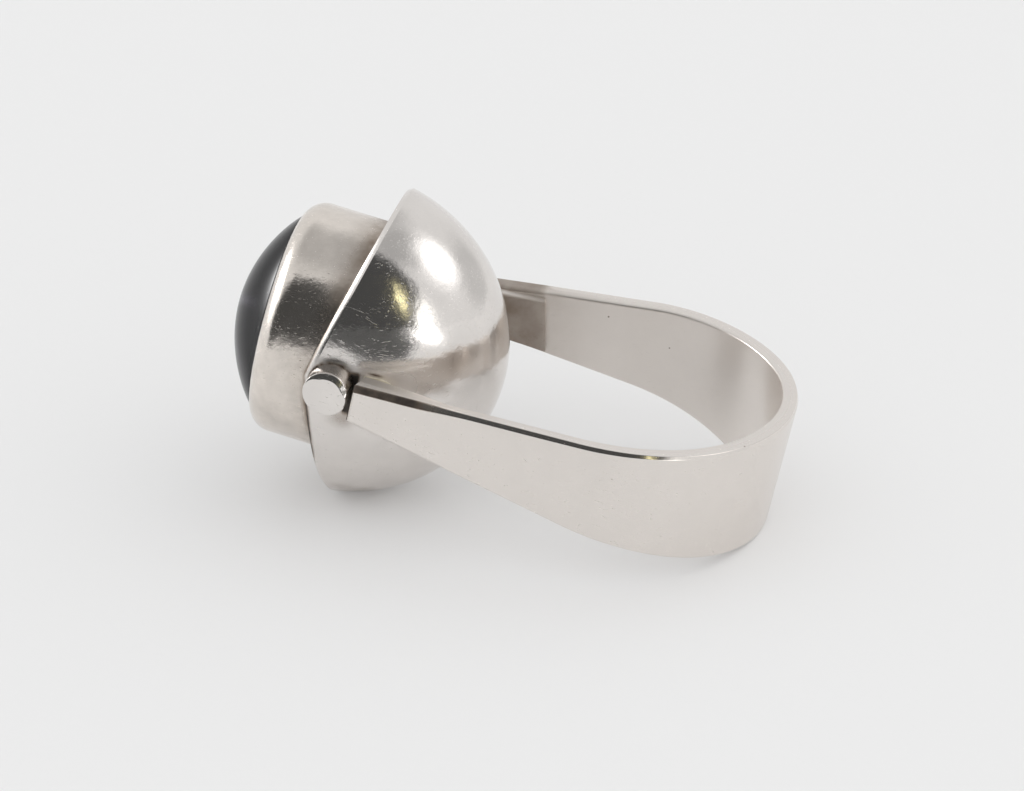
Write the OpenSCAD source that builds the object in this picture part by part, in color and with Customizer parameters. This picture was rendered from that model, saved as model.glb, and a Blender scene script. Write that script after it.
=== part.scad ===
// Star sapphire ring: a hollow half-ball head with an oval bezel, on a wide band that is soldered across it.
// In the ring's own frame the stone faces -X, Y runs across the ring and Z runs along the finger, and the
// origin is the centre of the cup. The ring is then laid on its side, resting on the cup and the band's back.

/* [Cup] */
// Radius of the cup along the finger, and its depth
cup_r = 9.7; // [9.2:0.1:10.2]
// Half width of the cup, across the ring
cup_half_w = 6.3; // [6:0.1:6.6]
// Thickness of the cup's wall and of the plate that closes its mouth
cup_wall = 0.9; // [0.7:0.05:1]
// Sweep of each half of the mouth back toward the finger, in degrees
mouth_sweep = 13; // [9:0.5:15]
// Height of the mouth's middle above the cup's centre
mouth_rise = 0.44; // [0.2:0.02:0.7]

/* [Bezel] */
// Half length of the bezel's oval, along the finger
bezel_half_l = 6.95; // [6.6:0.05:7.2]
// Half width of the bezel's oval
bezel_half_w = 5.75; // [5.5:0.05:5.8]
// Height of the lip above the cup's centre
lip_rise = 3.75; // [3.4:0.05:4.2]
// Thickness of the bezel's wall
bezel_wall = 1.15; // [0.9:0.05:1.3]
// Radius of the rounded shoulder
shoulder_r = 1.3; // [1.3:0.05:1.6]
// How far the lip leans in over the stone
lip_lean = 0.25; // [0.1:0.05:0.4]

/* [Stone] */
// Height of the dome above the lip
dome_h = 2.0; // [1.5:0.1:3]
// Height of the stone's slanted edge, under the lip
girdle_h = 1.3; // [1:0.05:1.6]
// Gap between the stone and its seat
stone_gap = 0.04; // [0.03:0.01:0.06]

/* [Band] */
// Outer radius of the band round the back of the finger
band_r = 9.35; // [9:0.05:10]
// Distance from the cup's centre to the back of the band
band_reach = 26.05; // [25:0.05:27]
// Thickness of the band
band_t = 0.92; // [0.8:0.02:1.1]
// Width of the band at its ends
end_w = 2.2; // [2:0.1:2.6]
// Width of the band at the back of the finger
back_w = 7.5; // [6.5:0.1:8.5]
// Distance from the cup's centre to the band's ends
band_start = 2.79; // [2.7:0.01:3]
// Spread of each arm toward the back, in degrees
arm_spread = 5.7; // [5:0.1:6.5]

/* [Cheeks] */
// Thickness of the strip that doubles each end of the band
cheek_t = 1.1; // [1:0.05:1.2]
// Distance from the cup's centre to the cheek's tip
cheek_end = 9.3; // [8:0.1:10]
// Distance from the cup's centre to the end of the solder between cheek and cup
solder_end = 4.6; // [4:0.1:5]

/* [Studs] */
// Radius of the stud
stud_r = 1.26; // [1.1:0.02:1.3]
// Distance from the ring's middle to the stud's face
stud_face = 7.6; // [7.4:0.05:7.8]
// Distance from the cup's centre back to the stud's centre
stud_back = 1.17; // [1.1:0.01:1.2]
// Width of the bevel round the stud's face
stud_bevel = 0.22; // [0.1:0.02:0.4]
// Distance from the stud's centre to its flat side
stud_flat = 1.14; // [0.9:0.02:1.14]

/* [Hidden] */
$fn = 120;

// Longer than anything in the ring, for solids that only cut
reach = 40;
// Overlap of pieces that are soldered together
weld = 0.3;

// Half length of the lip's inner edge, which the dome of the stone just clears
lip_half_l = bezel_half_l - bezel_wall;

// The arms are tangent to the round back
band_centre = band_reach - band_r;
function arm_y(x, inset) = (band_r - inset - (band_centre - x) * sin(arm_spread)) / cos(arm_spread);
function band_half_w(x) = (end_w + (back_w - end_w) * (x - band_start) / (band_reach - band_start)) / 2;

// The ring leans until the band's lower back edge is as low as the bottom of the cup
tilt = asin(cup_r / norm([band_reach, back_w / 2])) - atan(back_w / 2 / band_reach);
left_x = -lip_rise * cos(tilt) - norm([dome_h * cos(tilt), (lip_half_l - stone_gap) * sin(tilt)]);
right_x = band_reach * cos(tilt) + back_w / 2 * sin(tilt);

// An oval of four tangent arcs, half length a along X and half width b along Y.
// The radial lines through the four tangent points meet the X axis at the centres of the end arcs.
function end_arc_r(a, b) = norm([a, b]) * (norm([a, b]) - a + b) / 2 / a;
function side_arc_r(a, b) = (a * a + b * b - 2 * a * end_arc_r(a, b)) / 2 / (b - end_arc_r(a, b));
function end_half_angle(a, b) = atan2(side_arc_r(a, b) - b, a - end_arc_r(a, b));

// Each row is [centre x, centre y, radius, first angle, sweep]
function oval_arcs(a, b) =
    let (end_r = end_arc_r(a, b), side_r = side_arc_r(a, b), half = end_half_angle(a, b))
    [
        [a - end_r, 0, end_r, -half, 2 * half],
        [0, b - side_r, side_r, half, 180 - 2 * half],
        [end_r - a, 0, end_r, 180 - half, 2 * half],
        [0, side_r - b, side_r, 180 + half, 180 - 2 * half]
    ];

// Points all round the oval, the same number on each arc
function oval_points(a, b, inset, steps) = [
    for (arc = oval_arcs(a, b), i = [0:steps - 1])
        let (angle = arc[3] + arc[4] * i / steps)
        [arc.x + (arc[2] - inset) * cos(angle), arc.y + (arc[2] - inset) * sin(angle)]
];

// The part of the oval that the side arcs bound, out past the arcs
module between_ends(a, b) {
    end_x = a - end_arc_r(a, b);
    past = side_arc_r(a, b) + 1;
    x = past * cos(end_half_angle(a, b));
    y = past * sin(end_half_angle(a, b)) + b - side_arc_r(a, b);
    polygon([
        [-x, b + 1], [-x, y], [-end_x, 0], [-x, -y], [-x, -b - 1],
        [x, -b - 1], [x, -y], [end_x, 0], [x, y], [x, b + 1]
    ]);
}

// The oval as a flat shape, drawn in by an inset
module oval(a, b, inset) {
    for (side = [-1, 1])
        translate([side * (a - end_arc_r(a, b)), 0]) circle(end_arc_r(a, b) - inset);
    intersection() {
        translate([0, b - side_arc_r(a, b)]) circle(side_arc_r(a, b) - inset);
        translate([0, side_arc_r(a, b) - b]) circle(side_arc_r(a, b) - inset);
        between_ends(a, b);
    }
}

// A round block whose edge has the section of its child: x = 0 is at radius r, and minus x is inside
module puck(r) {
    rotate_extrude()
        intersection() {
            translate([r, 0]) children();
            translate([0, -reach]) square([reach, 2 * reach]);
        }
}

// An oval block whose edge has the section of its child all round
module oval_block(a, b) {
    for (side = [-1, 1])
        translate([side * (a - end_arc_r(a, b)), 0, 0]) puck(end_arc_r(a, b)) children();
    intersection() {
        translate([0, b - side_arc_r(a, b), 0]) puck(side_arc_r(a, b)) children();
        translate([0, side_arc_r(a, b) - b, 0]) puck(side_arc_r(a, b)) children();
        translate([0, 0, -reach]) linear_extrude(height = 2 * reach) between_ends(a, b);
    }
}

// Turns a shape that stands on the XY plane so that it rises toward the stone
module toward_stone(rise) {
    translate([-rise, 0, 0]) rotate([0, -90, 0]) children();
}

// Lays the ring on its side, with the origin under the middle of its box
module at_rest() {
    translate([-(left_x + right_x) / 2, 0, cup_r]) rotate([0, tilt, 0]) children();
}

// Everything behind the two planes of the mouth, which meet in a line across the ring
module behind_mouth(depth) {
    front = depth - mouth_rise;
    rotate([90, 0, 0])
        linear_extrude(height = reach, center = true)
            polygon([
                [front, 0],
                [front + reach * tan(mouth_sweep), reach],
                [2 * reach, reach],
                [2 * reach, -reach],
                [front + reach * tan(mouth_sweep), -reach]
            ]);
}

// A ball of the cup's proportions, cut at the mouth
module cup_form(inset) {
    intersection() {
        rotate([90, 0, 0])
            rotate_extrude()
                intersection() {
                    oval(cup_r, cup_half_w, inset);
                    translate([0, -reach / 2]) square([reach / 2, reach]);
                }
        behind_mouth(inset);
    }
}

// A hollow ball behind the mouth plate, which is open inside the bezel
module cup() {
    shaft_base = cup_wall + lip_half_l * tan(mouth_sweep) + weld;
    difference() {
        cup_form(0);
        cup_form(cup_wall);
        toward_stone(-shaft_base)
            linear_extrude(height = shaft_base + lip_rise)
                oval(bezel_half_l, bezel_half_w, bezel_wall + weld);
    }
}

// The bezel's outside in section: straight down from a round shoulder
module bezel_outside() {
    intersection() {
        translate([-reach, -reach]) square(reach);
        union() {
            translate([-shoulder_r, -shoulder_r]) circle(shoulder_r);
            translate([-reach, -reach]) square([reach, reach - shoulder_r]);
            translate([-reach, -reach]) square([reach - shoulder_r, reach]);
        }
    }
}

// The bezel's inside in section: it leans in toward the lip, over the stone
module bezel_inside() {
    slope = lip_lean / girdle_h;
    polygon([
        [-reach, -girdle_h],
        [-reach, 1],
        [-bezel_wall - slope, 1],
        [-bezel_wall + lip_lean, -girdle_h]
    ]);
}

// The bezel above the mouth plate, hollow up to the plate that carries the stone
module bezel() {
    toward_stone(lip_rise)
        difference() {
            oval_block(bezel_half_l, bezel_half_w) bezel_outside();
            oval_block(bezel_half_l, bezel_half_w) bezel_inside();
            translate([0, 0, -reach])
                linear_extrude(height = reach - girdle_h - cup_wall)
                    oval(bezel_half_l, bezel_half_w, bezel_wall);
            translate([0, 0, -lip_rise]) rotate([0, 90, 0]) behind_mouth(cup_wall / 2);
        }
}

// The band seen along the finger: arms that spread to a round back
module band_plan(inset, start) {
    tangent = [band_centre - (band_r - inset) * sin(arm_spread), (band_r - inset) * cos(arm_spread)];
    translate([band_centre, 0]) circle(band_r - inset);
    polygon([
        [start, -arm_y(start, inset)],
        [tangent.x, -tangent.y],
        [tangent.x, tangent.y],
        [start, arm_y(start, inset)]
    ]);
}

// The band seen from the side: a taper from the back to the ends
module band_side() {
    rotate([90, 0, 0])
        linear_extrude(height = reach, center = true)
            polygon([
                [band_start, -end_w / 2],
                [band_reach + 1, -band_half_w(band_reach + 1)],
                [band_reach + 1, band_half_w(band_reach + 1)],
                [band_start, end_w / 2]
            ]);
}

module band() {
    intersection() {
        linear_extrude(height = reach, center = true)
            difference() {
                band_plan(0, band_start);
                band_plan(band_t, band_start - 1);
            }
        band_side();
    }
}

// A strip inside each end of the band, with a 45 degree chamfer that runs on into the band
module cheeks() {
    inner = band_t + cheek_t;
    shoulder_x = cheek_end - cheek_t;
    root_x = cheek_end + band_t / 2;
    intersection() {
        linear_extrude(height = reach, center = true)
            for (side = [-1, 1])
                scale([1, side])
                    polygon([
                        [band_start, arm_y(band_start, band_t / 2)],
                        [band_start, arm_y(band_start, inner)],
                        [shoulder_x, arm_y(shoulder_x, inner)],
                        [root_x, arm_y(root_x, band_t / 2)]
                    ]);
        band_side();
    }
}

// Solder that fills the narrow end of the wedge between each cheek and the cup
module solder() {
    cup_y = cup_half_w * sqrt(1 - pow(solder_end / cup_r, 2)) - weld;
    intersection() {
        linear_extrude(height = end_w * 0.9, center = true)
            for (side = [-1, 1])
                scale([1, side])
                    polygon([
                        [band_start + weld / 2, arm_y(band_start, band_t + cheek_t / 2)],
                        [band_start + weld / 2, cup_y],
                        [solder_end, cup_y],
                        [solder_end, arm_y(solder_end, band_t + cheek_t / 2)]
                    ]);
        band_side();
    }
}

// A round boss on one side of the cup, with a bevelled face and a flat beside the end of the band
module stud() {
    root = cup_half_w - cup_wall + weld;
    intersection() {
        translate([stud_back, root, 0])
            rotate([-90, 0, 0]) {
                cylinder(r = stud_r, h = stud_face - stud_bevel - root);
                translate([0, 0, stud_face - stud_bevel - root])
                    cylinder(r1 = stud_r, r2 = stud_r - stud_bevel, h = stud_bevel);
            }
        translate([stud_back + stud_flat - reach, 0, -reach / 2]) cube(reach);
    }
}

// All the metal, soldered into one
module silver() {
    color([0.80, 0.77, 0.74])
        at_rest() {
            cup();
            bezel();
            band();
            cheeks();
            solder();
            stud();
            mirror([0, 1, 0]) stud();
        }
}

// The cabochon: a flat base, a slanted edge held by the lip, and an even dome
module stone() {
    arc_steps = 20;
    dome_steps = 12;
    top = oval_points(bezel_half_l, bezel_half_w, bezel_wall + stone_gap, arc_steps);
    base = oval_points(bezel_half_l, bezel_half_w, bezel_wall - lip_lean + 2 * stone_gap, arc_steps);
    ring = len(top);
    dome = [
        for (row = [0:dome_steps - 1])
            let (rise = 90 * row / dome_steps)
            for (p = top)
                [p.x * cos(rise), p.y * cos(rise), dome_h * sin(rise)]
    ];
    points = concat(
        [for (p = base) [p.x, p.y, stone_gap - girdle_h]],
        dome,
        [[0, 0, dome_h]]
    );
    apex = len(points) - 1;
    faces = concat(
        [[for (i = [0:ring - 1]) i]],
        [
            for (row = [0:dome_steps - 1], i = [0:ring - 1], half = [0, 1])
                let (a = row * ring + i, b = row * ring + (i + 1) % ring)
                half == 0 ? [a, a + ring, b] : [b, a + ring, b + ring]
        ],
        [for (i = [0:ring - 1]) [dome_steps * ring + i, apex, dome_steps * ring + (i + 1) % ring]]
    );
    color([0.13, 0.12, 0.13])
        at_rest() toward_stone(lip_rise) polyhedron(points, faces);
}

silver();
stone();
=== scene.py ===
import math

import bpy
import numpy as np
from mathutils import Matrix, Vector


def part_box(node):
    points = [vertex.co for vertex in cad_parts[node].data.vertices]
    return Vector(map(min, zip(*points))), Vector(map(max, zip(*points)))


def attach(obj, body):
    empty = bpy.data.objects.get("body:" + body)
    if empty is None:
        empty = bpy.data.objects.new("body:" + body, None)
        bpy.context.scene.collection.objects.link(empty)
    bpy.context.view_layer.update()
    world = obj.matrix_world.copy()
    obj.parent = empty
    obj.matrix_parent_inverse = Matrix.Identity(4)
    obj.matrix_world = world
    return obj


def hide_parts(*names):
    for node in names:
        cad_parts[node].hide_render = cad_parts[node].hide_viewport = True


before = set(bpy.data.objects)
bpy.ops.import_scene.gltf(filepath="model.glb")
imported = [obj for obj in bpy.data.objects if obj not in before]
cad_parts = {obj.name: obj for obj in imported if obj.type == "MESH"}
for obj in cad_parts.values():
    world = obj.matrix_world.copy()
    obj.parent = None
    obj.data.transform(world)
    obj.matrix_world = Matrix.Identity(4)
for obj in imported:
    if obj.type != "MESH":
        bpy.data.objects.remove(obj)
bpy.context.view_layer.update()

MM = 0.001

# Points round the cup and the bezel
HEAD_COLUMNS = 288

# The cup: an oval ball cut by a mouth that sweeps back on both sides of a fold
CUP_R = 9.7
CUP_HALF_W = 6.3
MOUTH_SWEEP = math.tan(math.radians(13))
MOUTH_RISE = 0.44  # from the cup's centre to the fold in its mouth
RIM_DEPTH = 0.28
RIM_INSET = 0.21
RIM_STRAIGHT = 0.75  # the rest of the rim's bevel is round

# The bezel, and the stone in it
BEZEL_HALF_L = 6.95
BEZEL_HALF_W = 5.75
LIP_RISE = 3.75  # from the cup's centre to the lip
BEZEL_WALL = 1.02
SHOULDER_R = 1.3
LIP_LEAN = 0.25
SEAM_FILLET = 0.14
BEZEL_FOOT = 0.6  # how deep the bezel goes into the plate
HIDDEN_INSET = 1.3
DOME_H = 2.28
DOME_POWER = 1.8
GIRDLE_H = 1.3
STONE_GAP = 0.04

# Tarnish on the bezel: along its foot, less on the upper side, and thin up the wall, more on the top
UPPER_SIDE = (-0.3, 0.2)
TOP_SIDE = (0.2, 0.75)
FOOT_REACH = 0.42
UPPER_FOOT_LESS = 0.4
UPPER_REACH_LESS = 0.24
WALL_TARNISH = 0.36
TOP_TARNISH = 0.26
WALL_REACH = 1.5

# The band, and the cheeks inside its ends: -1 is the side toward the camera and 1 the far one
BAND_R = 9.35
BAND_REACH = 26.05  # from the cup's centre to the outside of the back
BAND_T = 0.92
CHAMFER_DOWN = 0.3
CHAMFER_ACROSS = 0.17
LOW_CHAMFER = 0.14
EDGE_ROUND = 0.05
CHAMFER_TOP_ROUND = 0.04
INNER_ROUND = 0.2
INNER_DROP = 0.09
END_ROUND = 0.06
END_W = 2.2
BACK_W = 7.5
BAND_START = 2.7
CORNERS_AT_BACK = 0.6  # size of the worn corners there, as a share of the chamfers'
ARM_SPREAD = math.radians(5.7)
CHEEK_T = 1.1
CHEEK_LAP = 0.03  # how far the cheek reaches into the band
CHEEK_ENDS = {-1: 9.1, 1: 9.8}
CHEEK_CUT = {-1: 0.0, 1: 0.22}
# How much darker brown each cheek's inner face is
CHEEK_INNER_DARKENING = {-1: 0.05, 1: 0.84}
CHEEK_TAPER = 0.6
CHEEK_DROP = 0.13  # below the band's edge at its start
CHEEK_SINK = 0.35  # how much more at its end
CHEEK_LEAN = 0.1
CHEEK_ROUND = 0.28
CHEEK_EDGE_ROUND = 0.02
CHEEK_FACE_REACH = 0.3
SOLDER_START = BAND_START + 0.15
SOLDER_END = 4.9
SOLDER_IN_CUP = 0.35
SOLDER_IN_CHEEK = 0.25
SOLDER_TARNISH = 0.16

# Changes along the band: how much each adds, and the two places on X between which it fades out
BAND_LIFT = (0.22, 16, 25)
BAND_SAG = (0.1, 18, 25)
CRISP_CORNERS = ((0.3, 6, 10), (0.2, 12, 22))
# The inside of the far arm is darker brown
FAR_INSIDE_DARKENING = (0.3, 10, 17)
# A painted dark reflection on the far arm's upper edge
EDGE_PAINTED_REFLECTION = (0.54, 9.4, 10.4)
# A painted dark reflection on the near arm's chamfer
CHAMFER_PAINTED_REFLECTION = (0.74, 6, 10)
EDGE_MATT = (1.5, 8, 14)
INSIDE_MATT = (0.4, 17, 21)
BACK_MATT = 0.3
CHAMFER_POLISH = 0.45

# The studs
STUD_R = 1.29
STUD_FACE = 7.6
STUD_BACK = 1.15  # from the cup's centre to the stud's axis
STUD_FLAT = 1.21  # from that axis to the flat
STUD_BEVEL = 0.33
STUD_BEVEL_DEPTH = 0.18
STUD_BEVEL_LEAST = 0.2
BEVEL_SINE = (-0.1, 0.6)
BEVEL_COSINE = (-1.0, -0.45)
STUD_CROWN = 0.03
STUD_ROOT = 0.8 * CUP_HALF_W
STUD_FOOT = 6.05
STUD_FOOT_REACH = 0.13
# How much darker brown the stud's wall is
STUD_WALL_DARKENING = 0.4

# Tarnish and painted shade on the cup: spans are a middle and a half length, reaches are in millimetres,
# strengths from 0 to 1
CUP_SIDE = 3.0
SEAM_STRENGTH = 0.9
STUD_RING_REACH = 0.1
CHEEK_SEAM_X = (3.3, 0.7)
CHEEK_SEAM_REACH = 0.085
# The gap at the band's end is darkened as painted shade
END_GAP_X = (2.3, 0.2)
END_GAP_Z = (-0.3, 1.25)
END_GAP_REACH = 0.15
RIM_TARNISH = 0.35
RIM_TARNISH_Z = 6
RIM_REACH = 0.1
LOW_RIM_TARNISH = 0.55
LOW_RIM_FOOT = (-6.5, -5.0)
LOW_RIM_TOP = (-2.0, 1.0)
# The underside near the floor is darkened as painted shade
UNDERSIDE_PAINTED_SHADE = (0.42, -7.9, -6.9)
UNDERSIDE_X = 3.2
UNDERSIDE_REACH = 2.0
MATT_X = (2.6, 2.6)
MATT_Z = (0, 1.1)
MATT_REACH = 0.6

# Painted shade under the stud and a painted reflection of the arm past the solder, on the cup's sides: x, z,
# reach along X, reach along Z and strength
CUP_PAINTED_SHADE_AND_REFLECTION = {
    "under the stud": (2.0, -1.9, 1.08, 0.9, 0.5),
    "past the solder": (6.6, 0.7, 1.76, 0.64, 0.4),
}

# The ring rests on its cup and on the lower edge of its back, which sets its tilt and the cup's place
BAND_CENTRE = BAND_REACH - BAND_R
TO_BACK_EDGE = math.hypot(BAND_REACH, BACK_W / 2)
TILT = math.asin(CUP_R / TO_BACK_EDGE) - math.atan(BACK_W / 2 / BAND_REACH)
BACK_X = BAND_REACH * math.cos(TILT) + BACK_W / 2 * math.sin(TILT)
CUP_CENTRE = (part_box("silver")[1][0] / MM - BACK_X, 0.0, CUP_R)

# The photograph's camera, as found from the ring's outlines: angles in degrees, distances in millimetres
PHOTO_W = 1024
FOCAL_PX = 5500
SENSOR_W = 36
VIEW_AZIMUTH, VIEW_ELEVATION, VIEW_ROLL = 14.5, 26.5, -1.23
VIEW_DISTANCE = 311.4
VIEW_ASIDE = (-9.656, -3.682)


def ring_to_row():
    """The turn about Y that lays the ring down."""
    return np.array([
        [math.cos(TILT), 0, math.sin(TILT)],
        [0, 1, 0],
        [-math.sin(TILT), 0, math.cos(TILT)],
    ])


def lay_down(points):
    """Points of the ring's own frame in millimetres, turned and moved into the row's frame in metres."""
    return (np.asarray(points) @ ring_to_row().T + CUP_CENTRE) * MM


def near(distance, reach):
    """1 at distance 0, falling off as a bell of that reach."""
    return np.exp(-(distance / reach) ** 2)


def blend(value, low, high):
    """0 below low and 1 above high, with the smooth step 3s^2 - 2s^3 between."""
    share = np.clip((value - low) / (high - low), 0, 1)
    return share * share * (3 - 2 * share)


def past(value, middle, half):
    """How far a value lies past a span round that middle, and 0 inside the span."""
    return np.maximum(0, abs(value - middle) - half)


def fading(place, strength, start, end):
    """A strength that fades out between two places."""
    return strength * (1 - blend(place, start, end))


def fillet(before, corner, after, r):
    """Points c + r (1 - t)^2 a + r t^2 b round a corner c, with a and b the directions to its neighbours."""
    back, ahead = np.subtract(before, corner), np.subtract(after, corner)
    back, ahead = back / np.linalg.norm(back), ahead / np.linalg.norm(ahead)
    t = np.linspace(0, 1, 6)[:, None]
    return corner + r * ((1 - t) ** 2 * back + t ** 2 * ahead)


def surface(name, grid, start=None, end=None, tarnish_and_shade=0.0, dull=0.0, crease=26):
    """A closed mesh from a grid of points whose columns run round.

    Each end closes to a pole if there is one, and otherwise the rows close on each other. Faces point
    outward, because a mesh whose signed volume is negative has them reversed. Two values from 0 to 1 go in
    as attributes: tarnish_and_shade is patina with painted shade and painted dark reflections, and dull is
    matt metal.
    """
    loop = start is None
    rows, columns = grid.shape[:2]
    index = np.arange(rows * columns).reshape(rows, columns)
    following = np.roll(index, -1, axis=0) if loop else index[1:]
    here = index if loop else index[:-1]
    quads = np.stack(
        [here, np.roll(here, -1, axis=1), np.roll(following, -1, axis=1), following], axis=-1
    ).reshape(-1, 4)
    points = grid.reshape(-1, 3)
    worn = np.stack([np.broadcast_to(value, (rows, columns)) for value in (tarnish_and_shade, dull)])
    values = worn.reshape(2, -1)
    fans = []
    for pole, row in () if loop else ((start, 0), (end, rows - 1)):
        if pole is not None:
            tip = np.full(columns, len(points))
            beside = np.roll(index[row], -1)
            edge = (beside, index[row]) if row == 0 else (index[row], beside)
            fans.append(np.stack([tip, *edge], axis=-1))
            points = np.vstack([points, pole])
            values = np.hstack([values, worn[:, row].mean(axis=-1, keepdims=True)])
    points = lay_down(points)
    fans = np.vstack(fans) if fans else np.zeros((0, 3), int)
    triangles = np.vstack([quads[:, :3], quads[:, [0, 2, 3]], fans])
    a, b, c = (points[triangles[:, corner]] for corner in range(3))
    if np.einsum("ij,ij->i", a, np.cross(b, c)).sum() < 0:
        quads, fans = quads[:, ::-1], fans[:, ::-1]
    mesh = bpy.data.meshes.new(name)
    mesh.from_pydata(points.tolist(), [], quads.tolist() + fans.tolist())
    mesh.shade_smooth()
    mesh.set_sharp_from_angle(angle=math.radians(crease))
    for label, value in zip(("tarnish_and_shade", "dull"), values):
        mesh.attributes.new(label, "FLOAT", "POINT").data.foreach_set("value", value.astype(np.float32))
    mesh.update()
    obj = bpy.data.objects.new(name, mesh)
    bpy.context.collection.objects.link(obj)
    return obj


def dress(obj, node, material):
    """Puts the piece on the root body in place of its CAD node, with its material."""
    obj.data.materials.append(material)
    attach(obj, "root")
    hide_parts(node)


def turns(count):
    """Angles evenly round a full turn."""
    return 2 * math.pi * np.arange(count) / count


def steps(start, end, count):
    """Values from start to end that crowd toward both, so that a face keeps its own shading."""
    return start + (end - start) * (1 - np.cos(np.linspace(0, math.pi, count))) / 2


def cup():
    """The ball is x = R cos p, y = W sin p cos q, z = R sin p sin q, from the pole p = 0 to the mouth.

    The mouth is the pair of planes x = -rise + sweep |z|. The ball stops a rim's depth before them, a narrow
    bevel leads to them, and they close it to a pole in the middle. The bevel's line is a weighted mean of a
    straight one and a quarter circle.
    """
    curved = 1 - RIM_STRAIGHT
    q = turns(HEAD_COLUMNS)
    leg = MOUTH_SWEEP * abs(np.sin(q))
    last = np.arccos((RIM_DEPTH - MOUTH_RISE) / (CUP_R * np.hypot(1, leg))) - np.arctan(leg)
    p = last * np.sin(np.linspace(0, 1, 100)[1:, None] * math.pi / 2)
    radius, x = np.sin(p), CUP_R * np.cos(p)
    rim = np.radians(np.linspace(0, 90, 7))[1:, None]
    share = rim / rim[-1]
    rim_radius = radius[-1] - RIM_INSET / CUP_R * (RIM_STRAIGHT * share + curved * (1 - np.cos(rim)))
    rim_x = CUP_R * leg * rim_radius - MOUTH_RISE
    rim_x = rim_x + RIM_DEPTH * (RIM_STRAIGHT * (1 - share) + curved * (1 - np.sin(rim)))
    plate_radius = steps(1, 0, 24)[1:-1, None] * rim_radius[-1]
    plate_x = CUP_R * leg * plate_radius - MOUTH_RISE
    radius = np.vstack([radius, rim_radius, plate_radius])
    x = np.vstack([x, rim_x, plate_x])
    y, z = CUP_HALF_W * radius * np.cos(q), CUP_R * radius * np.sin(q)
    grid = np.stack([x, y, z], axis=-1)
    return surface("cup", grid, (CUP_R, 0, 0), (-MOUTH_RISE, 0, 0), *cup_wear(x, y, z), crease=24)


def cup_wear(x, y, z):
    """Tarnish, painted shade and matt metal on the cup: each is a bell over the distance from where it
    gathers.

    Tarnish lies round the stud, along the cheek's edges and along the rim, most on the rim's lower part.
    Painted shade darkens the gap at the band's end, a spot under the stud and the underside, and a painted
    reflection of the arm darkens a spot past the solder. The sides are matt between the cheek's edges.
    """
    side = abs(y) > CUP_SIDE
    stud_ring = SEAM_STRENGTH * near(np.hypot(x - STUD_BACK, z) - STUD_R, STUD_RING_REACH)
    from_cheek = np.hypot(past(x, *CHEEK_SEAM_X), abs(z) - half_width(x))
    cheek_seam = SEAM_STRENGTH * near(from_cheek, CHEEK_SEAM_REACH)
    # Painted shade in the gap at the band's end
    end_gap = near(np.hypot(past(x, *END_GAP_X), past(z, *END_GAP_Z)), END_GAP_REACH)
    tarnish_and_shade = side * np.maximum(np.maximum(stud_ring, cheek_seam), end_gap)
    # Painted shade under the stud, and a painted reflection of the arm past the solder
    for middle_x, middle_z, reach_x, reach_z, strength in CUP_PAINTED_SHADE_AND_REFLECTION.values():
        away = np.hypot((x - middle_x) / reach_x, (z - middle_z) / reach_z)
        tarnish_and_shade = np.maximum(tarnish_and_shade, side * strength * near(away, 1))
    # Painted shade on the underside, near the floor
    underside = fading(z, *UNDERSIDE_PAINTED_SHADE) * near(x - UNDERSIDE_X, UNDERSIDE_REACH)
    low_rim = blend(z, *LOW_RIM_FOOT) * (1 - blend(z, *LOW_RIM_TOP))
    from_mouth = x - (MOUTH_SWEEP * abs(z) - MOUTH_RISE)
    rim = RIM_TARNISH * (abs(z) < RIM_TARNISH_Z) + LOW_RIM_TARNISH * low_rim
    rim = rim * near(from_mouth, RIM_REACH * (1 + low_rim))
    tarnish_and_shade = np.maximum(np.maximum(tarnish_and_shade, underside), rim)
    dull = side * near(np.hypot(past(x, *MATT_X), past(z, *MATT_Z)), MATT_REACH)
    return np.clip(tarnish_and_shade, 0, 1), dull


def oval(angle, inset):
    """The parallel curve of the bezel's ellipse: each point moves in by the inset along its normal."""
    along, across = BEZEL_HALF_L * np.cos(angle), BEZEL_HALF_W * np.sin(angle)
    toward = BEZEL_HALF_W * np.cos(angle), BEZEL_HALF_L * np.sin(angle)
    length = np.hypot(*toward)
    return along - inset * toward[0] / length, across - inset * toward[1] / length


def raised(angle, inset, rise):
    """Points over the bezel's oval: rise is toward the stone."""
    along, across = oval(angle, inset)
    return np.stack([-rise + 0 * along, across, along], axis=-1)


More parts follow.
